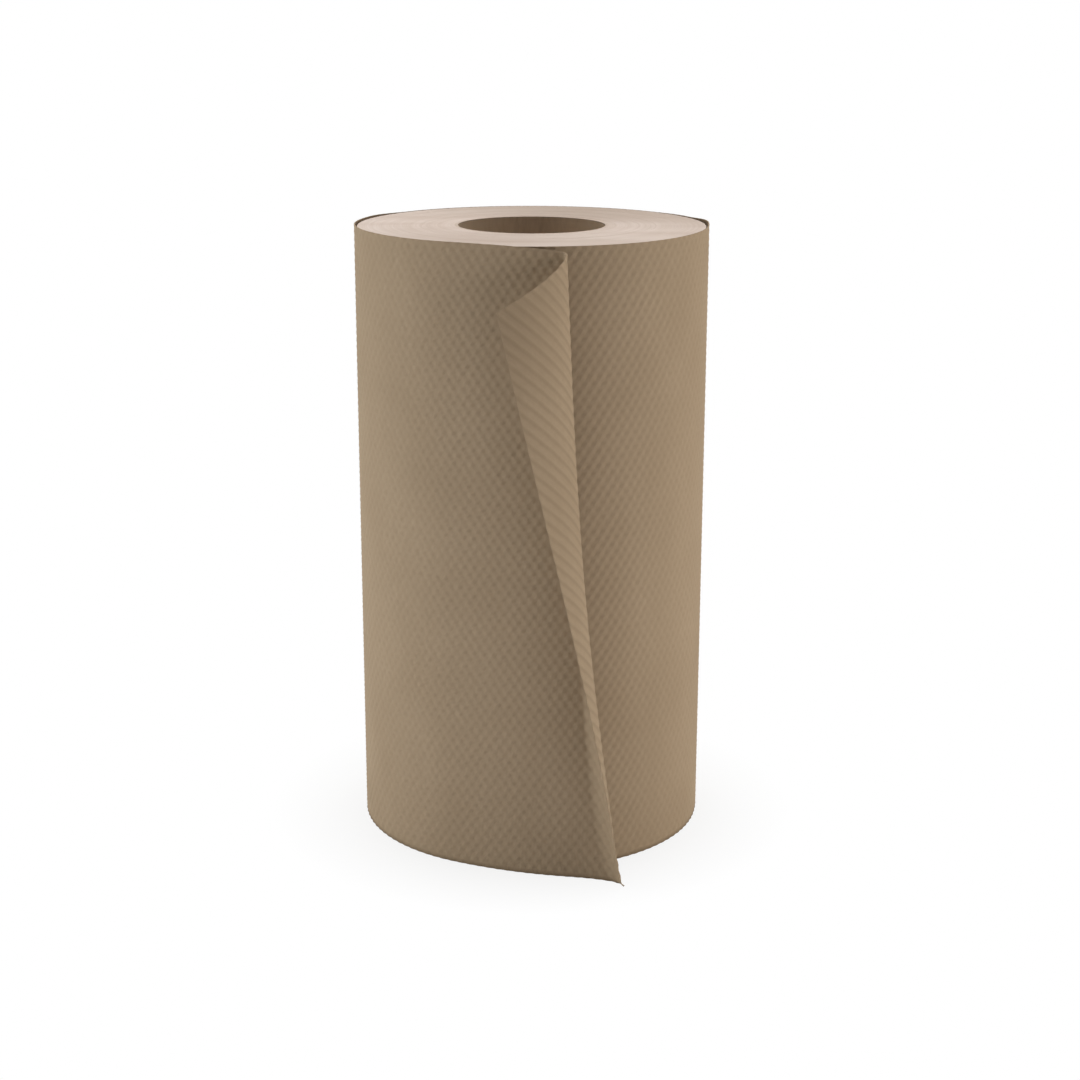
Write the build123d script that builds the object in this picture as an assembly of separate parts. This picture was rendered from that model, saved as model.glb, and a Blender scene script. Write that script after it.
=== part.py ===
"""Hardwound paper towel roll, standing on end, with its loose end curling off the front.

Millimetres. The roll's axis is Z, the floor is z = 0 and the front is -Y.
Angles are in degrees about Z, counted from +X towards +Y.
Two pieces: the paper, which is one web from the core to the curled free edge,
and the paperboard core tube that it is wound on.
"""
import os
from math import cos, degrees, exp, radians, sin

from build123d import *

# Roll and core
roll_height = 200.0
roll_diameter = 114.3
core_bore = 47.6
core_wall = 1.1

# Thickness of the loose, embossed sheet
sheet_thickness = 0.3

# Last turn: it is slack, starts against the roll and ends where the sheet peels off
peel_angle = -116.8
seam_turn = 6.0
seam_gap = 0.1
slack_gap = 0.35
turn_proud = 0.8
turn_foot_clearance = 0.2

# Bridge that joins the start of the last turn to the turns under it
bond_turn = 3.0
bond_depth = 1.0

# Loose end: it flattens as it peels off, then folds outward, most at the head, and hangs down there
flat_radius = 120.0
flat_length_foot = 43.4
flat_length_head = 32.4
loose_length_foot = 59.2
loose_length_head = 73.1
curl_angle_foot = 29.5
curl_angle_head = 149.8
curl_rise_exponent = 0.56
curl_ease_ratio_foot = 2.2
curl_ease_ratio_head = 3.0
head_dip = 17.3
dip_ease_ratio = 9.0

# Rows and points that carry the loose end's surface
loose_rows = 31
flat_points = 5
curl_points = 12
curl_point_crowding = 1.5
integration_steps = 12

# Turns seen on the end faces: a shallow spiral between groups of turns
spiral_turns = 3
spiral_groove_width = 1.0
spiral_groove_depth = 0.25
spiral_margin = 3.0

roll_radius = roll_diameter / 2
core_radius = core_bore / 2 + core_wall
seam_radius = roll_radius - sheet_thickness - slack_gap + seam_gap
wound_radius = seam_radius - sheet_thickness - seam_gap
sheet_height = roll_height + turn_proud - turn_foot_clearance


def polar(radius, angle, z=0.0):
    """Point at a radius and an angle in degrees about the roll's axis."""
    return Vector(radius * cos(radians(angle)), radius * sin(radians(angle)), z)


def between(low, high, share):
    """Value that lies the given share of the way from low to high."""
    return low + (high - low) * share


def spiral(first_radius, growth, half_turns, late_start):
    """Half circles, end to end, whose radius grows by the same amount each turn.

    They start at the peel angle, or later by the given angle, and run anticlockwise.
    """
    arcs = []
    for half in range(half_turns):
        centre = polar(growth / 2 * (half % 2), peel_angle)
        radius = first_radius + growth * half / 2
        skipped = late_start if half == 0 else 0
        arcs.append(CenterArc(centre, radius, peel_angle + 180 * half + skipped, 180 - skipped))
    return arcs


def spiral_band(first_radius, width, growth, half_turns, late_start=0.0):
    """Face between a spiral and the same spiral a width further out."""
    inner = spiral(first_radius, growth, half_turns, late_start)
    outer = spiral(first_radius + width, growth, half_turns, late_start)
    first_end = Line(inner[0] @ 0, outer[0] @ 0)
    last_end = Line(inner[-1] @ 1, outer[-1] @ 1)
    return make_face(Wire(inner + outer + [first_end, last_end]))


def last_turn():
    """Slack turn round the roll, from its seam to the line where the sheet peels off."""
    growth = roll_radius - seam_radius
    band = spiral_band(seam_radius - sheet_thickness, sheet_thickness, growth, 2, seam_turn)
    return Pos(0, 0, turn_foot_clearance) * extrude(band, sheet_height)


def curl_heading(share, height_share):
    """Degrees that the sheet has turned outward at a share of the curl's length."""
    turn = between(curl_angle_foot, curl_angle_head, height_share**curl_rise_exponent)
    ease = between(curl_ease_ratio_foot, curl_ease_ratio_head, height_share)
    return turn * (1 - exp(-ease * share)) / (1 - exp(-ease))


def dip_slope(share):
    """Slope of the dip at a share of the curl's length, as a multiple of its mean slope."""
    mean = 1 - (1 - exp(-dip_ease_ratio)) / dip_ease_ratio
    return (1 - exp(-dip_ease_ratio * share)) / mean


def loose_row(height_share):
    """Outside of the loose end along one row, from the peel line to the free edge."""
    flat_length = between(flat_length_foot, flat_length_head, height_share)
    curl_length = between(loose_length_foot, loose_length_head, height_share) - flat_length
    dip = head_dip * height_share
    stations = [flat_length * i / flat_points for i in range(1, flat_points + 1)]
    curl_shares = [(i / curl_points) ** curl_point_crowding for i in range(1, curl_points + 1)]
    stations += [flat_length + curl_length * share for share in curl_shares]
    place = polar(roll_radius, peel_angle, turn_foot_clearance + sheet_height * height_share)
    points = [place]
    run = 0.0
    for station in stations:
        step = (station - run) / integration_steps
        for part in range(integration_steps):
            middle = run + step * (part + 0.5)
            share = max(middle - flat_length, 0) / curl_length
            heading = peel_angle + 90 + degrees(min(middle, flat_length) / flat_radius)
            heading -= curl_heading(share, height_share)
            fall = dip / curl_length * dip_slope(share)
            level = (1 - fall**2) ** 0.5
            place += (polar(level, heading) - Vector(0, 0, fall)) * step
        run = station
        points.append(place)
    return points


def sheet_normal(rows, row, column):
    """Outward direction of the loose end at one of its points."""
    if column == 0:
        return polar(1, peel_angle)
    above, below = min(row + 1, len(rows) - 1), max(row - 1, 0)
    after, before = min(column + 1, len(rows[row]) - 1), column - 1
    along = rows[row][after] - rows[row][before]
    up = rows[above][column] - rows[below][column]
    return along.cross(up).normalized()


def sheet_outline(outer, inner):
    """Closed outline of the sheet's thickness between the curves of its two sides."""
    first_end = Edge.make_line(outer @ 0, inner @ 0)
    last_end = Edge.make_line(outer @ 1, inner @ 1)
    return Wire([outer, last_end, inner, first_end])


def loose_end():
    """Loose end of the sheet, in strips from row to row, from the foot to the head."""
    rows = [loose_row(row / (loose_rows - 1)) for row in range(loose_rows)]
    sides = []
    for row, outside in enumerate(rows):
        inside = []
        for column, point in enumerate(outside):
            inside.append(point - sheet_normal(rows, row, column) * sheet_thickness)
        sides.append((Edge.make_spline(outside), Edge.make_spline(inside)))
    skin = Shell.make_loft([sheet_outline(*pair) for pair in sides], ruled=True)
    foot = Face.make_surface_from_curves(*sides[0])
    head = Face.make_surface_from_curves(*sides[-1])
    return Solid(Shell([foot, head] + skin.faces()))


def seam_bond():
    """Bridge under the start of the last turn, where it runs out of the roll."""
    first_angle = peel_angle + seam_turn + bond_turn / 2
    last_angle = first_angle + bond_turn
    inner = wound_radius - bond_depth
    outer = seam_radius - sheet_thickness / 2
    corners = [
        polar(inner, first_angle),
        polar(outer, first_angle),
        polar(outer, last_angle),
        polar(inner, last_angle),
    ]
    outline = make_face(Polyline(*corners, close=True))
    return Pos(0, 0, turn_foot_clearance) * extrude(outline, roll_height - turn_foot_clearance)


def spiral_groove():
    """Shallow spiral cut that marks the turns on an end face."""
    first_radius = core_radius + spiral_margin
    last_radius = wound_radius - spiral_margin - spiral_groove_width
    growth = (last_radius - first_radius) / spiral_turns
    band = spiral_band(first_radius, spiral_groove_width, growth, round(2 * spiral_turns))
    return extrude(band, spiral_groove_depth)


def paper():
    """The wound turns as one solid, with the slack last turn and its curled loose end."""
    wound = extrude(Circle(wound_radius) - Circle(core_radius), roll_height)
    for foot in (0, roll_height - spiral_groove_depth):
        wound -= Pos(0, 0, foot) * spiral_groove()
    return wound + seam_bond() + (last_turn() + loose_end())


def core():
    """Paperboard tube, flush with the wound turns at both ends."""
    return extrude(Circle(core_radius) - Circle(core_bore / 2), roll_height)


def write(shape, name):
    """Write one piece as parts/NAME.step."""
    shape.label = name
    export_step(shape, f"parts/{name}.step")
    print(name, "solids", len(shape.solids()), "volume", round(shape.volume), "valid", shape.is_valid)


os.makedirs("parts", exist_ok=True)
write(paper(), "paper_roll")
write(core(), "core_tube")
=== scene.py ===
import math

import bpy
import numpy as np
from mathutils import Matrix, Vector


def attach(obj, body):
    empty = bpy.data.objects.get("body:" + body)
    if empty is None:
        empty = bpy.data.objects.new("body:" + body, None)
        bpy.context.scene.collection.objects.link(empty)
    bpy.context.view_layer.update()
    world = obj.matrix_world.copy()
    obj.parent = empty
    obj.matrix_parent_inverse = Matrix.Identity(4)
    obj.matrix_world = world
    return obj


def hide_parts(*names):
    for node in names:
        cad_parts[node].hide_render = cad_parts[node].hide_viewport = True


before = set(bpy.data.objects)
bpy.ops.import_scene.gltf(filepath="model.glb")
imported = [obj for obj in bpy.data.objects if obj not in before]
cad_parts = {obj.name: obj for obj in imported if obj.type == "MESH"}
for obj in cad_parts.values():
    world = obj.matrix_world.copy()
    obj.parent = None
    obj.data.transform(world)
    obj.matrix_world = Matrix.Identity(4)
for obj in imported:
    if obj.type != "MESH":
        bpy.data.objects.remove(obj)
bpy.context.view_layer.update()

# Sizes are in millimetres and angles in degrees, as in the part's source. MM makes them metres.
MM = 0.001

# Roll and core
ROLL_HEIGHT = 200.0
ROLL_DIAMETER = 114.3
CORE_BORE = 47.6
CORE_WALL = 1.1
ROLL_RADIUS = ROLL_DIAMETER / 2
CORE_BORE_RADIUS = CORE_BORE / 2
CORE_RADIUS = CORE_BORE_RADIUS + CORE_WALL

# Slack last turn. It comes out of the roll under the peel line, so no seam shows.
SHEET_THICKNESS = 0.3
SLACK_GAP = 0.35
WOUND_RADIUS = ROLL_RADIUS - 2 * SHEET_THICKNESS - SLACK_GAP
PEEL_ANGLE = -116.8
FOOT_CLEARANCE = 0.2
TURN_PROUD = 0.8
HIDDEN_START = 8.0
SHEET_HEIGHT = ROLL_HEIGHT + TURN_PROUD - FOOT_CLEARANCE
TURN_LENGTH = math.radians(360 + HIDDEN_START) * ROLL_RADIUS

# Stops round the last turn: angle, gap to the turns under it, and how far it stands proud of them
TURN_STOPS = (
    (PEEL_ANGLE - HIDDEN_START, -0.4, 0.0),
    (-116.0, 0.05, 0.05),
    (-60.0, 0.3, 0.05),
    (-10.0, 0.5, 0.4),
    (5.0, 0.9, 0.85),
    (24.0, 0.2, 0.25),
    (45.0, 0.1, 0.05),
    (92.0, 0.1, 0.05),
    (138.0, 0.15, 0.1),
    (160.0, 0.4, 0.6),
    (200.0, 0.7, 0.85),
    (PEEL_ANGLE + 360, 0.65, TURN_PROUD),
)
TURN_ANGLES, TURN_GAPS, TURN_PROUDS = zip(*TURN_STOPS)

# Loose end, as foot and head values. It flattens as it peels off, and leans down a little towards
# the head's crease. Then it folds outward, and its tip curls out beside that, most at the foot.
FLAT_RADIUS = (124.4, 144.9)
FLAT_RADIUS_RISE_EXPONENT = 0.73
FLAT_LENGTH = (54.8, 37.3)
FLAT_RISE_EXPONENT = 0.39
LOOSE_LENGTH = (59.4, 72.8)
CURL_ANGLE = (29.0, 143.7)
CURL_RISE_EXPONENT = 0.59
CURL_EASE_RATIO = (1.08, 1.38)
CREASE_SHARE = 0.59
CREASE_LENGTH = 1.3
CREASE_RISE_RATIO = 4.0
HEAD_DIP = 10.1
DIP_EASE_RATIO = 12.2
HEAD_LEAN = 0.12
TIP_CURL_ANGLE = 35.7
TIP_CURL_START = 36.0
TIP_CURL_FADE_EXPONENT = 1.79

# Embossing: crossed diagonal waves outside, and one set of them inside. A wave is its share of
# the lattice's waves along the sheet, its share of those up the sheet, and its height.
LATTICE_WIDTH = 3.28
LATTICE_ROWS = 43
WAVE_ALONG = 2 * math.pi / LATTICE_WIDTH
WAVE_UP = 2 * math.pi * LATTICE_ROWS / SHEET_HEIGHT
OUTER_WAVES = ((1.0, 1.0, 0.058), (1.0, -1.0, 0.058))
INNER_WAVES = ((0.75, -1.07, 0.135),)

# Mesh of the sheet. SAMPLES is how many of its rows, and of the turn's columns, a wave gets.
SAMPLES = 4
LOOSE_FLAT_COLUMNS = 56
LOOSE_CURL_COLUMNS = 96
CURL_CROWDING = 1.8
INTEGRATION_STEPS = 4
HEIGHT_SHARES = np.linspace(0, 1, LATTICE_ROWS * SAMPLES + 1)[:, None]
HEIGHTS = SHEET_HEIGHT * HEIGHT_SHARES

# End faces of the wound turns: uneven rings, and a shallow spiral between groups of turns
END_RINGS = 88
END_SECTORS = 288
RING_RELIEF = 0.03
RING_WAVES = 3
RING_FADE = 1.0
HEAD_SEED = 5
FOOT_SEED = 6
SPIRAL_TURNS = 3
SPIRAL_WIDTH = 1.0
SPIRAL_DEPTH = 0.2
SPIRAL_MARGIN = 3.0

# Core tube, with the helical joint of its paperboard strip
CORE_SECTORS = 180
CORE_ROWS = 120
CORE_EDGE_RINGS = 5
PLY_PITCH = 95.0
PLY_JOINT_WIDTH = 0.8
PLY_JOINT_DEPTH = 0.12

# Stage: a square floor that is all white past a distance from the axis, and even light around.
# FLOOR_WHITE is the share of plain white in it near the roll, where the rest takes the shadow.
FLOOR_REACH = 12000.0
FLOOR_FADE_START = 60.0
FLOOR_FADE_END = 90.0
FLOOR_WHITE = 0.84
FLOOR_GREY = 0.95
WORLD_LIGHT = 0.12

# Camera, as the photo's perspective gives it
CAMERA_PLACE = (2.30, -646.09, 274.22)
CAMERA_YAW = 0.052
CAMERA_PITCH = 15.563
CAMERA_ROLL = 0.11
CAMERA_SENSOR = 36.0
CAMERA_LENS = 66.29
CAMERA_CLIP_START = 10.0


def between(ends, share):
    """Value that lies the given share of the way from the first end to the second."""
    return ends[0] + (ends[1] - ends[0]) * share


def eased(stops, values, at):
    """Values given at some stops, joined by smooth steps."""
    values = np.asarray(values)
    share = np.interp(at, stops, np.arange(len(stops)))
    below = np.minimum(share.astype(int), len(stops) - 2)
    part = share - below
    part = part * part * (3 - 2 * part)
    return values[below] + (values[below + 1] - values[below]) * part


def ring_points(radius, angle, z):
    """Points from radii, angles in degrees and heights, which broadcast to a grid."""
    radius, angle, z = np.broadcast_arrays(radius, np.radians(angle), z)
    return np.stack([radius * np.cos(angle), radius * np.sin(angle), z], axis=-1)


def unit(vectors):
    """The same directions at length 1."""
    return vectors / np.linalg.norm(vectors, axis=-1, keepdims=True)


def normals(grid, closed=False):
    """Unit normals of a grid of points. A closed grid's last column lies on its first."""
    if closed:
        grid = np.concatenate([grid[:, -2:-1], grid, grid[:, 1:2]], axis=1)
    across = np.cross(np.gradient(grid, axis=1), np.gradient(grid, axis=0))
    return unit(across[:, 1:-1] if closed else across)


def new_object(name, data):
    """New object in the scene's collection."""
    piece = bpy.data.objects.new(name, data)
    bpy.context.scene.collection.objects.link(piece)
    return piece


def build(name, patches):
    """One smooth object from patches: each a grid of points, its normals and its flat places."""
    points, directions, places, quads = [], [], [], []
    start = 0
    for grid, facing, place in patches:
        rows, columns = grid.shape[:2]
        corner = start + np.arange(rows - 1)[:, None] * columns + np.arange(columns - 1)
        quad = np.stack([corner, corner + 1, corner + columns + 1, corner + columns], axis=-1)
        quads.append(quad.reshape(-1, 4))
        points.append(grid.reshape(-1, 3))
        directions.append(facing.reshape(-1, 3))
        places.append(place.reshape(-1, 3))
        start += rows * columns
    points = np.concatenate(points)
    directions = np.concatenate(directions)
    places = np.concatenate(places)
    quads = np.concatenate(quads)
    mesh = bpy.data.meshes.new(name)
    mesh.vertices.add(start)
    mesh.vertices.foreach_set("co", (points * MM).astype(np.float32).ravel())
    mesh.loops.add(quads.size)
    mesh.loops.foreach_set("vertex_index", quads.astype(np.int32).ravel())
    mesh.polygons.add(len(quads))
    mesh.polygons.foreach_set("loop_start", np.arange(0, quads.size, 4, dtype=np.int32))
    flat_sheet = mesh.attributes.new("flat_sheet", "FLOAT_VECTOR", "POINT")
    flat_sheet.data.foreach_set("vector", places.astype(np.float32).ravel())
    mesh.update(calc_edges=True)
    mesh.polygons.foreach_set("use_smooth", np.ones(len(quads), dtype=bool))
    mesh.normals_split_custom_set_from_vertices(directions.astype(np.float32))
    piece = new_object(name, mesh)
    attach(piece, "root")
    return piece


def patch(grid, place=None, closed=False, flip=False):
    """Patch of a piece. Flipping it turns its face the other way."""
    place = grid if place is None else place
    if flip:
        grid, place = grid[:, ::-1], place[:, ::-1]
    return grid, normals(grid, closed), place


def strip(first, second, place, facing=None):
    """Narrow patch that joins two lines of points.

    Given the normals of the face beside it, it shades as a rounded edge of that face.
    """
    grid = np.stack([first, second])
    across = normals(grid) if facing is None else unit(normals(grid) + facing)
    return grid, across, np.stack([place, place])


def flat_place(along, up, side):
    """Place on the flat sheet: length along, length up, and which side of the sheet it is."""
    return np.stack(np.broadcast_arrays(along, up, float(side)), axis=-1)


def embossed(grid, outward, along_axis, up_axis, place, waves):
    """Grid with the waves raised out of it, and its normals. The axes are the flat sheet's."""
    height, slope_along, slope_up = 0.0, 0.0, 0.0
    for along_share, up_share, wave_height in waves:
        wave_along, wave_up = along_share * WAVE_ALONG, up_share * WAVE_UP
        phase = place[..., 0:1] * wave_along + place[..., 1:2] * wave_up
        height = height + wave_height * np.cos(phase)
        slope_along = slope_along - wave_height * wave_along * np.sin(phase)
        slope_up = slope_up - wave_height * wave_up * np.sin(phase)
    facing = unit(outward - along_axis * slope_along - up_axis * slope_up)
    return grid + outward * height, facing


def turn_side(inset):
    """Slack turn at a depth under its outside: its grid, angles, and lengths along the sheet."""
    columns = round(TURN_LENGTH / LATTICE_WIDTH * SAMPLES) + 1
    share = np.linspace(0, 1, columns)
    angle = PEEL_ANGLE - HIDDEN_START + (360 + HIDDEN_START) * share
    radius = WOUND_RADIUS + SHEET_THICKNESS + eased(TURN_ANGLES, TURN_GAPS, angle) - inset
    top = ROLL_HEIGHT + eased(TURN_ANGLES, TURN_PROUDS, angle)
    grid = ring_points(radius, angle, between((FOOT_CLEARANCE, top), HEIGHT_SHARES))
    return grid, angle, TURN_LENGTH * (share - 1)


def curl_heading(run, curl):
    """Degrees that the sheet has turned outward at lengths from the start of its curl."""
    run = np.maximum(run, 0)
    ease = between(CURL_EASE_RATIO, HEIGHT_SHARES)
    eased_part = (1 - np.exp(-ease * run / curl)) / (1 - np.exp(-ease))
    creased_part = 1 - np.exp(-run / CREASE_LENGTH)
    creased = CREASE_SHARE * (1 - np.exp(-CREASE_RISE_RATIO * HEIGHT_SHARES))
    turned = between((eased_part, creased_part), creased)
    return between(CURL_ANGLE, HEIGHT_SHARES**CURL_RISE_EXPONENT) * turned


def loose_direction(run, flat, curl):
    """Direction of the loose end's rows at lengths from the peel line."""
    flat_radius = between(FLAT_RADIUS, HEIGHT_SHARES**FLAT_RADIUS_RISE_EXPONENT)
    heading = PEEL_ANGLE + 90 + np.degrees(np.minimum(run, flat) / flat_radius)
    tip_share = np.maximum(run - TIP_CURL_START, 0) / (flat + curl - TIP_CURL_START)
    tip_curl = TIP_CURL_ANGLE * (1 - HEIGHT_SHARES) ** TIP_CURL_FADE_EXPONENT * tip_share**2
    heading = heading - curl_heading(run - flat, curl) - tip_curl
    mean = 1 - (1 - math.exp(-DIP_EASE_RATIO)) / DIP_EASE_RATIO
    dip = (1 - np.exp(-DIP_EASE_RATIO * np.maximum(run - flat, 0) / curl)) / mean
    lean = HEAD_LEAN * np.minimum(run / flat, 1) ** 2
    fall = HEIGHT_SHARES * (lean + HEAD_DIP / curl * dip)
    return ring_points(np.sqrt(1 - fall**2), heading, -fall)


def loose_side():
    """Outside of the loose end, not yet embossed: its grid, its rows' directions and lengths."""
    flat = between(FLAT_LENGTH, HEIGHT_SHARES**FLAT_RISE_EXPONENT)
    curl = between(LOOSE_LENGTH, HEIGHT_SHARES) - flat
    flat_shares = np.linspace(0, 1, LOOSE_FLAT_COLUMNS + 1)[1:]
    curl_shares = np.linspace(0, 1, LOOSE_CURL_COLUMNS + 1)[1:] ** CURL_CROWDING
    along = np.concatenate([0 * flat, flat * flat_shares, flat + curl * curl_shares], axis=1)
    place = ring_points(ROLL_RADIUS, PEEL_ANGLE, FOOT_CLEARANCE + HEIGHTS)
    columns = [place]
    for column in range(1, along.shape[1]):
        first, last = along[:, column - 1:column], along[:, column:column + 1]
        step = (last - first) / INTEGRATION_STEPS
        for part in range(INTEGRATION_STEPS):
            middle = first + step * (part + 0.5)
            place = place + loose_direction(middle, flat, curl) * step[..., None]
        columns.append(place)
    return np.concatenate(columns, axis=1), loose_direction(along, flat, curl), along


def unrolled(grid, direction, along):
    """Axes and places of the loose end's points on the flat sheet.

    They come from how far its rows turn within the sheet from one point to the next.
    """
    lift = np.gradient(grid, axis=0) - direction * np.gradient(along, axis=0)[..., None]
    lift = lift / (SHEET_HEIGHT / (len(grid) - 1))
    outward = unit(np.cross(direction, lift))
    upward = np.cross(outward, direction)
    lean = (direction * lift).sum(axis=-1)
    climb = (upward * lift).sum(axis=-1)
    start = 0 * along[:, :1]
    turned = np.diff(lean, axis=1) / ((climb[:, 1:] + climb[:, :-1]) / 2)
    turned = np.concatenate([start, np.cumsum(turned, axis=1)], axis=1)
    middle = (turned[:, 1:] + turned[:, :-1]) / 2
    steps = np.diff(along, axis=1)
    across = np.concatenate([start, np.cumsum(np.cos(middle) * steps, axis=1)], axis=1)
    rise = np.concatenate([start, np.cumsum(np.sin(middle) * steps, axis=1)], axis=1)
    turned = turned[..., None]
    along_axis = direction * np.cos(turned) - upward * np.sin(turned)
    up_axis = direction * np.sin(turned) + upward * np.cos(turned)
    return outward, along_axis, up_axis, across, HEIGHTS + rise


def turn_piece():
    """Slack last turn: embossed outside, plain inside, with strips at its head and foot."""
    grid, angle, along = turn_side(0)
    outward = ring_points(1.0, angle, 0 * HEIGHTS)
    tangent = ring_points(1.0, angle + 90, 0 * HEIGHTS)
    upward = np.array([0.0, 0.0, 1.0])
    place = flat_place(along, HEIGHTS, 1)
    outside, facing = embossed(grid, outward, tangent, upward, place, OUTER_WAVES)
    ends = [0, -1]
    inside = turn_side(SHEET_THICKNESS)[0][ends]
    return build("last_turn", [
        (outside, facing, place),
        patch(inside, place[ends], flip=True),
        strip(outside[-1], inside[-1], place[-1]),
        strip(inside[0], outside[0], place[0]),
    ])


def loose_piece():
    """Loose end: embossed on both sides. It meets the last turn at the peel line."""
    grid, direction, along = loose_side()
    outward, along_axis, up_axis, across, up = unrolled(grid, direction, along)
    place = flat_place(across, up, 1)
    back = flat_place(across, up, 0)
    outside, facing = embossed(grid, outward, along_axis, up_axis, place, OUTER_WAVES)
    inside = grid - outward * SHEET_THICKNESS
    inside, inside_facing = embossed(inside, outward, along_axis, up_axis, place, INNER_WAVES)
    return build("loose_end", [
        (outside, facing, place),
        (inside[:, ::-1], -inside_facing[:, ::-1], back[:, ::-1]),
        strip(outside[-1], inside[-1], place[-1], -inside_facing[-1]),
        strip(inside[0], outside[0], place[0]),
        strip(inside[:, -1], outside[:, -1], place[:, -1], -inside_facing[:, -1]),
    ])


def spiral_valley(radius, angle):
    """Depth of the shallow spiral between groups of turns."""
    first = CORE_RADIUS + SPIRAL_MARGIN
    growth = (WOUND_RADIUS - SPIRAL_MARGIN - SPIRAL_WIDTH - first) / SPIRAL_TURNS
    turned = (angle - PEEL_ANGLE) % 360 / 360
    run = radius - first - SPIRAL_WIDTH / 2
    turn = np.clip(np.round(run / growth - turned), 0, SPIRAL_TURNS - 1)
    off = run - (turn + turned) * growth
    return SPIRAL_DEPTH * np.exp(-((2 * off / SPIRAL_WIDTH) ** 2))


def ring_relief(radius_count, angle, seed):
    """Small uneven heights of the turns, which change slowly round the roll."""
    random = np.random.default_rng(seed)
    relief = np.zeros((radius_count, len(angle)))
    for wave in range(RING_WAVES):
        level = random.normal(0, 1, (radius_count, 1))
        phase = random.uniform(0, 360, (radius_count, 1))
        relief += level * np.cos(np.radians(wave * angle + phase))
    return RING_RELIEF * relief / math.sqrt(RING_WAVES)


def end_face(z, outward, seed):
    """End face of the wound turns as a patch. The foot's face has nothing below the floor."""
    radius = np.linspace(CORE_RADIUS, WOUND_RADIUS, END_RINGS + 1)[:, None]
    angle = np.linspace(0, 360, END_SECTORS + 1)
    fade = np.minimum(1, np.minimum(radius - CORE_RADIUS, WOUND_RADIUS - radius) / RING_FADE)
    relief = ring_relief(len(radius), angle, seed) - spiral_valley(radius, angle) - RING_RELIEF
    if outward < 0:
        relief = np.minimum(relief, 0)
    grid = ring_points(radius, angle, z + outward * fade * relief)
    return patch(grid, closed=True, flip=outward > 0)


def wound_piece():
    """The wound turns under the slack one, with layered end faces."""
    angle = np.linspace(0, 360, END_SECTORS + 1)
    z = np.array([[0.0], [ROLL_HEIGHT]])
    return build("wound_turns", [
        end_face(ROLL_HEIGHT, 1, HEAD_SEED),
        end_face(0.0, -1, FOOT_SEED),
        patch(ring_points(WOUND_RADIUS, angle, z), closed=True),
        patch(ring_points(CORE_RADIUS, angle, z), closed=True, flip=True),
    ])


def ply_joint(angle, z):
    """Depth of the helical joint between the edges of the core's strip."""
    off = ((z / PLY_PITCH - angle / 360 + 0.5) % 1 - 0.5) * PLY_PITCH
    return PLY_JOINT_DEPTH * np.exp(-((2 * off / PLY_JOINT_WIDTH) ** 2))


def core_piece():
    """Core tube with a helical joint inside."""
    angle = np.linspace(0, 360, CORE_SECTORS + 1)
    z = np.linspace(0, ROLL_HEIGHT, CORE_ROWS + 1)[:, None]
    edge = np.linspace(CORE_BORE_RADIUS, CORE_RADIUS, CORE_EDGE_RINGS + 1)[:, None]
    bore = ring_points(CORE_BORE_RADIUS + ply_joint(angle, z), angle, z)
    top = ring_points(edge, angle, ROLL_HEIGHT)
    foot = ring_points(edge, angle, 0.0)
    top[0], foot[0] = bore[-1], bore[0]
    return build("core_strip", [
        patch(bore, closed=True, flip=True),
        patch(top, closed=True, flip=True),
        patch(foot, closed=True),
        patch(ring_points(CORE_RADIUS, angle, z[[0, -1]]), closed=True),
    ])


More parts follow.
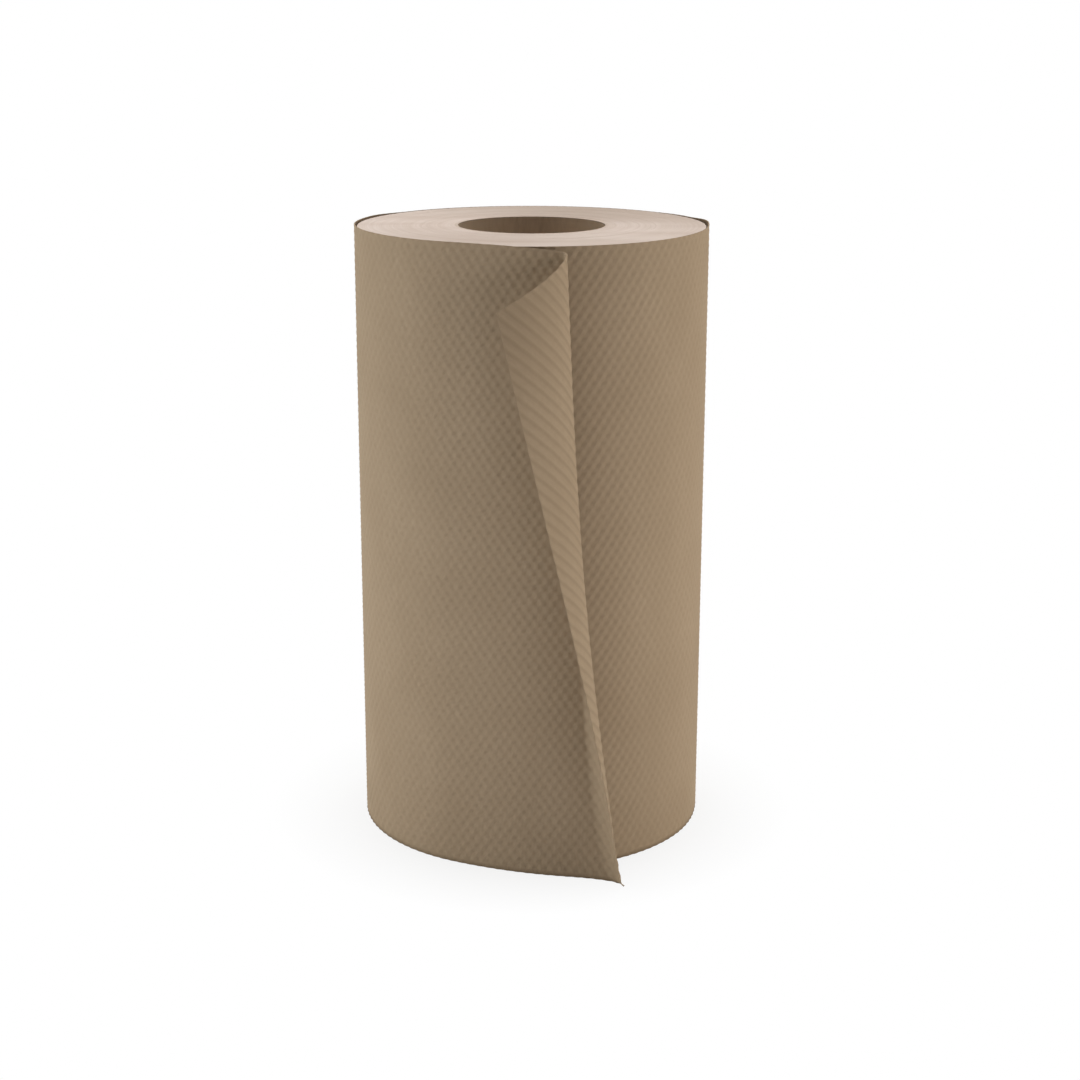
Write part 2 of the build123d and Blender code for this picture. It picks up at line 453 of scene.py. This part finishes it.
class Nodes:
    """Short way to add and join the shader nodes of a material or a world."""

    def __init__(self, owner):
        owner.use_nodes = True
        self.owner = owner
        self.tree = owner.node_tree

    def add(self, kind, inputs=None, **settings):
        """New node, with its settings, and with values or sockets put into its inputs."""
        node = self.tree.nodes.new(kind)
        for key, value in settings.items():
            setattr(node, key, value)
        for key, value in (inputs or {}).items():
            self.put(value, node.inputs[key])
        return node

    def put(self, value, socket):
        """Set an input to a value, or link it to another node's output."""
        if isinstance(value, bpy.types.NodeSocket):
            self.tree.links.new(value, socket)
        else:
            socket.default_value = value

    def math(self, operation, first, second=0.0):
        """Number that an operation gives."""
        inputs = {0: first, 1: second}
        return self.add("ShaderNodeMath", inputs, operation=operation).outputs[0]

    def vector(self, operation, first, second=(0.0, 0.0, 0.0)):
        """Vector that an operation gives."""
        inputs = {0: first, 1: second}
        return self.add("ShaderNodeVectorMath", inputs, operation=operation).outputs[0]

    def length(self, vector):
        """Length of a vector."""
        inputs = {0: vector}
        return self.add("ShaderNodeVectorMath", inputs, operation="LENGTH").outputs["Value"]

    def split(self, vector):
        """X, Y and Z of a vector."""
        return self.add("ShaderNodeSeparateXYZ", {0: vector}).outputs

    def join(self, x, y, z=0.0):
        """Vector from its X, Y and Z."""
        return self.add("ShaderNodeCombineXYZ", {0: x, 1: y, 2: z}).outputs[0]

    def own_place(self):
        """Place in the object's own frame, in metres."""
        return self.add("ShaderNodeTexCoord").outputs["Object"]

    def noise(self, vector, scale, detail=2.0, roughness=0.5):
        """Noise, mostly between 0.3 and 0.7."""
        inputs = {"Vector": vector, "Scale": scale, "Detail": detail, "Roughness": roughness}
        return self.add("ShaderNodeTexNoise", inputs).outputs[0]

    def ranged(self, value, start, full, least=0.0, most=1.0):
        """Number that goes from least to most while a value goes from start to full."""
        inputs = {"Value": value, "From Min": start, "From Max": full, "To Min": least, "To Max": most}
        return self.add("ShaderNodeMapRange", inputs).outputs[0]

    def mix(self, share, first, second):
        """Colour that lies a share of the way from the first to the second."""
        inputs = {0: share, 6: first, 7: second}
        return self.add("ShaderNodeMix", inputs, data_type="RGBA").outputs[2]

    def layer(self, tone, colour, value, start, full, most):
        """Tone with a colour laid over it, more and more while a value goes from start to full."""
        return self.mix(self.ranged(value, start, full, most=most), tone, colour)

    def bump(self, height, distance, under=None):
        """Normal for a height that stands out by a distance in millimetres, over another bump."""
        inputs = {"Height": height, "Distance": distance * MM}
        if under is not None:
            inputs["Normal"] = under
        return self.add("ShaderNodeBump", inputs).outputs[0]

    def background_rays(self):
        """1 for rays that show the background: seen, mirrored or through glass. Else it is 0."""
        rays = self.add("ShaderNodeLightPath").outputs
        indirect = self.math("MAXIMUM", rays["Is Glossy Ray"], rays["Is Transmission Ray"])
        return self.math("MAXIMUM", rays["Is Camera Ray"], indirect)

    def surface(self, inputs):
        """Set the inputs of the material's own shader."""
        shader = self.tree.nodes["Principled BSDF"]
        for key, value in inputs.items():
            self.put(value, shader.inputs[key])
        return shader.outputs[0]


def new_material(name):
    """Nodes of a new material."""
    return Nodes(bpy.data.materials.new(name))


def linear(value):
    """Linear value of an sRGB value from 0 to 255."""
    value = value / 255
    return value / 12.92 if value < 0.04045 else ((value + 0.055) / 1.055) ** 2.4


def srgb(red, green, blue):
    """Linear colour from 0 to 255 values."""
    return (linear(red), linear(green), linear(blue), 1.0)


# Sheet. Its textures are laid out in millimetres on the flat sheet, and SIDES_APART makes those
# of its two sides differ. A rise is how much finer a texture is up the sheet than along it. The
# embossing's hollows get painted shade, by one share inside and by another outside, and the
# sheet's lowest strip, at the floor, gets a painted contact shadow.
SHEET_DEEP = srgb(154, 133, 109)
SHEET_PALE = srgb(161, 140, 116)
SHEET_MOTTLE = srgb(150, 129, 105)
SHEET_DARK_FIBRE = srgb(130, 109, 85)
SHEET_PALE_FIBRE = srgb(174, 154, 129)
SHEET_HOLLOW_SHADE = srgb(134, 114, 91)
FOOT_SHADOW_COLOUR = srgb(96, 78, 58)
FOOT_SHADOW_HEIGHT = 1.6
HOLLOW_SHADE_INSIDE = 0.42
HOLLOW_SHADE_OUTSIDE = 0.2
SIDES_APART = 40
CLOUD_RISE = 0.6
FIBRE_RISE = 2.6
FIBRE_BUMP = 0.08

# Cut edges of the wound turns. Their textures are laid out in metres, as the core's are. They get
# painted light and shade: how lit they look in the direction (x, y) from the axis is the sum of
# x * x, y, x * y and x by these weights, lighter at the sides and darker towards the back.
# RING_DRIFT is how fast the rings change round the roll.
TURNS_DEEP = srgb(219, 203, 191)
TURNS_PALE = srgb(229, 214, 204)
TURNS_THREAD = srgb(200, 181, 166)
TURNS_SPECK = srgb(232, 219, 209)
TURNS_STREAK = srgb(196, 175, 160)
TURNS_PAINTED_SHADE = srgb(168, 150, 134)
PAINTED_LIGHT_WEIGHTS = (1.3, -0.7, -1.0, -0.35)
RING_DRIFT = 9.0
THREADS_PER_MM = 2.2
BANDS_PER_MM = 0.3
THREAD_BUMP = 0.1
SPECK_BUMP = 0.05

# Paperboard, and how far its paler cut edge reaches in from the ends of the core
BOARD_DEEP = srgb(198, 177, 154)
BOARD_PALE = srgb(211, 190, 167)
BOARD_FIBRE = srgb(176, 155, 132)
# Painted light for the bore's left and right sides
BOARD_PAINTED_SIDE_LIGHT = srgb(240, 218, 190)
BOARD_EDGE_PALE = srgb(205, 188, 174)
BOARD_EDGE_DEEP = srgb(190, 171, 155)
BOARD_EDGE_START = 0.4
BOARD_EDGE_FULL = 0.05
BOARD_BUMP = 0.1


def sheet_material():
    """Natural brown towel paper: dimples, fibres, mottling, and painted shade in the hollows and at
    the foot.
    """
    nodes = new_material("natural_towel_paper")
    place = nodes.add("ShaderNodeAttribute", attribute_name="flat_sheet").outputs["Vector"]
    along, up, side = nodes.split(place)
    phase_along = nodes.math("MULTIPLY", along, WAVE_ALONG)
    phase_up = nodes.math("MULTIPLY", up, WAVE_UP)
    crossed = nodes.math("COSINE", phase_along)
    crossed = nodes.math("MULTIPLY", crossed, nodes.math("COSINE", phase_up))
    slanted = nodes.math("MULTIPLY", phase_along, INNER_WAVES[0][0])
    slanted = nodes.math("ADD", slanted, nodes.math("MULTIPLY", phase_up, INNER_WAVES[0][1]))
    slanted = nodes.math("COSINE", slanted)
    dimple = nodes.add("ShaderNodeMix", {0: side, 2: slanted, 3: crossed}).outputs[0]
    # Painted shade: the embossing's hollows are darker, by a share that differs inside and outside.
    hollow_shade = nodes.ranged(dimple, start=0.3, full=-1.0)
    hollow_shade_share = nodes.ranged(side, 0.0, 1.0, least=HOLLOW_SHADE_INSIDE, most=HOLLOW_SHADE_OUTSIDE)
    hollow_shade = nodes.math("MULTIPLY", hollow_shade, hollow_shade_share)
    clouds = nodes.vector("MULTIPLY", place, (1, CLOUD_RISE, SIDES_APART))
    mottles = nodes.vector("MULTIPLY", place, (1, 1, SIDES_APART))
    fibres = nodes.vector("MULTIPLY", place, (1, FIBRE_RISE, SIDES_APART))
    cloud = nodes.noise(clouds, scale=0.05, detail=3)
    mottle = nodes.noise(mottles, scale=0.55, detail=3)
    fibre = nodes.noise(fibres, scale=1.6, detail=4, roughness=0.65)
    tone = nodes.mix(nodes.ranged(cloud, start=0.3, full=0.7), SHEET_DEEP, SHEET_PALE)
    tone = nodes.layer(tone, SHEET_MOTTLE, mottle, start=0.3, full=0.7, most=0.5)
    tone = nodes.layer(tone, SHEET_DARK_FIBRE, fibre, start=0.62, full=0.8, most=0.55)
    tone = nodes.layer(tone, SHEET_PALE_FIBRE, fibre, start=0.4, full=0.22, most=0.5)
    # Painted shade in the embossing's hollows.
    tone = nodes.mix(hollow_shade, tone, SHEET_HOLLOW_SHADE)
    # Painted contact shadow: the sheet darkens over its lowest strip, next to the floor.
    tone = nodes.layer(tone, FOOT_SHADOW_COLOUR, up, start=FOOT_SHADOW_HEIGHT, full=0.0, most=0.7)
    normal = nodes.bump(fibre, FIBRE_BUMP)
    nodes.surface({"Base Color": tone, "Normal": normal, "Roughness": 0.9, "Specular IOR Level": 0.25})
    return nodes.owner


def turns_material():
    """Cut edges of the wound turns: paler than the sheet's face, in fine uneven rings, with painted
    shade towards the back.
    """
    nodes = new_material("wound_paper_edges")
    place = nodes.own_place()
    x, y = nodes.split(place)[:2]
    radial = nodes.join(x, y)
    radius = nodes.math("MULTIPLY", nodes.length(radial), 1 / MM)
    drift_x = nodes.math("MULTIPLY", x, RING_DRIFT)
    drift_y = nodes.math("MULTIPLY", y, RING_DRIFT)
    threads = nodes.join(drift_x, drift_y, nodes.math("MULTIPLY", radius, THREADS_PER_MM))
    bands = nodes.join(drift_x, drift_y, nodes.math("MULTIPLY", radius, BANDS_PER_MM))
    streaks = nodes.vector("MULTIPLY", place, (1, 3, 1))
    thread = nodes.noise(threads, scale=1.0, roughness=0.6)
    band = nodes.noise(bands, scale=1.0)
    streak = nodes.noise(streaks, scale=24.0)
    speck = nodes.noise(place, scale=2600.0)
    x, y = nodes.split(nodes.vector("NORMALIZE", radial))[:2]
    terms = (nodes.math("MULTIPLY", x, x), y, nodes.math("MULTIPLY", x, y), x)
    # Painted light and shade: the end face is lighter towards its sides and darker towards the back.
    painted_light = 0.0
    for weight, term in zip(PAINTED_LIGHT_WEIGHTS, terms):
        painted_light = nodes.math("ADD", painted_light, nodes.math("MULTIPLY", term, weight))
    tone = nodes.mix(nodes.ranged(band, start=0.3, full=0.7), TURNS_DEEP, TURNS_PALE)
    tone = nodes.layer(tone, TURNS_THREAD, thread, start=0.35, full=0.7, most=0.5)
    tone = nodes.layer(tone, TURNS_SPECK, speck, start=0.55, full=0.8, most=0.4)
    tone = nodes.layer(tone, TURNS_STREAK, streak, start=0.35, full=0.7, most=0.45)
    # Painted shade laid over the tone where the end face is to look less lit.
    tone = nodes.layer(tone, TURNS_PAINTED_SHADE, painted_light, start=1.8, full=-1.2, most=0.75)
    normal = nodes.bump(thread, THREAD_BUMP, under=nodes.bump(speck, SPECK_BUMP))
    nodes.surface({"Base Color": tone, "Normal": normal, "Roughness": 0.95, "Specular IOR Level": 0.2})
    return nodes.owner


def board_material():
    """Paperboard of the core: grey brown, with fibres, a paler cut edge, and painted light on the
    bore's left and right.
    """
    nodes = new_material("core_paperboard")
    place = nodes.own_place()
    x, y, z = nodes.split(place)
    from_middle = nodes.math("ABSOLUTE", nodes.math("SUBTRACT", z, ROLL_HEIGHT * MM / 2))
    from_middle = nodes.math("MULTIPLY", from_middle, 1 / MM)
    edge_start, edge_full = ROLL_HEIGHT / 2 - BOARD_EDGE_START, ROLL_HEIGHT / 2 - BOARD_EDGE_FULL
    at_end = nodes.ranged(from_middle, start=edge_start, full=edge_full)
    # Painted light: the bore is lighter towards its left and right sides.
    side_light = nodes.split(nodes.vector("NORMALIZE", nodes.join(x, y)))[0]
    side_light = nodes.math("ABSOLUTE", side_light)
    fibres = nodes.vector("MULTIPLY", place, (1, 1, 0.25))
    fibre = nodes.noise(fibres, scale=900.0, detail=4, roughness=0.6)
    cloud = nodes.noise(place, scale=45.0)
    tone = nodes.mix(nodes.ranged(cloud, start=0.3, full=0.7), BOARD_DEEP, BOARD_PALE)
    tone = nodes.layer(tone, BOARD_FIBRE, fibre, start=0.35, full=0.7, most=0.6)
    tone = nodes.layer(tone, BOARD_PAINTED_SIDE_LIGHT, side_light, start=0.15, full=0.9, most=0.8)
    edge = nodes.mix(nodes.ranged(fibre, start=0.35, full=0.7), BOARD_EDGE_PALE, BOARD_EDGE_DEEP)
    tone = nodes.mix(at_end, tone, edge)
    normal = nodes.bump(fibre, BOARD_BUMP)
    nodes.surface({"Base Color": tone, "Normal": normal, "Roughness": 0.9, "Specular IOR Level": 0.25})
    return nodes.owner


def floor_material():
    """Pale floor that turns white away from the roll."""
    nodes = new_material("pale_floor")
    fade_start, fade_end = FLOOR_FADE_START * MM, FLOOR_FADE_END * MM
    white = nodes.ranged(nodes.length(nodes.own_place()), fade_start, fade_end, least=FLOOR_WHITE)
    white = nodes.math("MULTIPLY", nodes.background_rays(), white)
    grey = (FLOOR_GREY, FLOOR_GREY, FLOOR_GREY, 1)
    plain = nodes.surface({"Base Color": grey, "Roughness": 1.0, "Specular IOR Level": 0.0})
    glow = nodes.add("ShaderNodeEmission", {"Color": (1, 1, 1, 1), "Strength": 1.0}).outputs[0]
    both = nodes.add("ShaderNodeMixShader", {0: white, 1: plain, 2: glow}).outputs[0]
    nodes.put(both, nodes.tree.nodes["Material Output"].inputs["Surface"])
    return nodes.owner


def stage_floor():
    """Wide pale floor that fades to white away from the roll, and keeps the roll's shadow."""
    reach = FLOOR_REACH * MM
    mesh = bpy.data.meshes.new("floor")
    corners = [(-reach, -reach, 0), (reach, -reach, 0), (reach, reach, 0), (-reach, reach, 0)]
    mesh.from_pydata(corners, [], [(0, 1, 2, 3)])
    floor = new_object("floor", mesh)
    floor.data.materials.append(floor_material())


def stage_world():
    """Even pale surroundings, white where they are seen."""
    world = bpy.data.worlds.new("studio")
    nodes = Nodes(world)
    background = nodes.tree.nodes["Background"]
    strength = nodes.ranged(nodes.background_rays(), 0.0, 1.0, least=WORLD_LIGHT)
    nodes.put(strength, background.inputs["Strength"])
    nodes.put((1, 1, 1, 1), background.inputs["Color"])
    bpy.context.scene.world = world


def lamp(name, azimuth, elevation, distance, width, height, brightness, colour):
    """Soft rectangular lamp aimed at the roll's middle.

    The brightness is what it gives a white surface there that faces it.
    """
    light = bpy.data.lights.new(name, "AREA")
    light.shape = "RECTANGLE"
    light.size = width * MM
    light.size_y = height * MM
    light.color = colour
    light.energy = brightness * (math.pi * distance * MM) ** 2
    turn, rise = math.radians(azimuth), math.radians(elevation)
    level = math.cos(rise)
    outward = Vector((math.cos(turn) * level, math.sin(turn) * level, math.sin(rise)))
    place = Vector((0, 0, ROLL_HEIGHT / 2)) + outward * distance
    facing = outward.to_track_quat("Z", "Y").to_matrix().to_4x4()
    new_object(name, light).matrix_world = Matrix.Translation(place * MM) @ facing


def stage_lamps():
    """Lamps at both sides, a weak one in front, and a large one above and a little behind."""
    lamp(
        "left_softbox", azimuth=190, elevation=-2, distance=700, width=300, height=140,
        brightness=0.57, colour=(0.94, 1.0, 0.99),
    )
    lamp(
        "right_softbox", azimuth=-7, elevation=-2, distance=700, width=300, height=140,
        brightness=0.47, colour=(1.0, 0.99, 0.9),
    )
    lamp(
        "front_softbox", azimuth=-62, elevation=2, distance=900, width=500, height=140,
        brightness=0.12, colour=(1.0, 1.0, 1.0),
    )
    lamp(
        "top_softbox", azimuth=90, elevation=79, distance=1200, width=900, height=900,
        brightness=0.92, colour=(1.0, 1.0, 1.0),
    )


def stage_camera():
    """Camera at the photo's place, turned by its yaw, pitch and roll."""
    data = bpy.data.cameras.new("photo_camera")
    data.sensor_width = CAMERA_SENSOR
    data.lens = CAMERA_LENS
    data.clip_start = CAMERA_CLIP_START * MM
    yaw = Matrix.Rotation(math.radians(-CAMERA_YAW), 4, "Z")
    pitch = Matrix.Rotation(math.radians(90 - CAMERA_PITCH), 4, "X")
    roll = Matrix.Rotation(math.radians(CAMERA_ROLL), 4, "Z")
    camera = new_object("photo_camera", data)
    camera.matrix_world = Matrix.Translation(Vector(CAMERA_PLACE) * MM) @ yaw @ pitch @ roll
    bpy.context.scene.camera = camera


last_turn = turn_piece()
loose_end = loose_piece()
wound_turns = wound_piece()
core_strip = core_piece()
for paper_piece in (last_turn, loose_end, wound_turns):
    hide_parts("paper_roll")
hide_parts("core_tube")

sheet = sheet_material()
last_turn.data.materials.append(sheet)
loose_end.data.materials.append(sheet)
wound_turns.data.materials.append(turns_material())
core_strip.data.materials.append(board_material())

stage_floor()
stage_world()
stage_lamps()
stage_camera()
bpy.context.scene.view_settings.view_transform = "Standard"
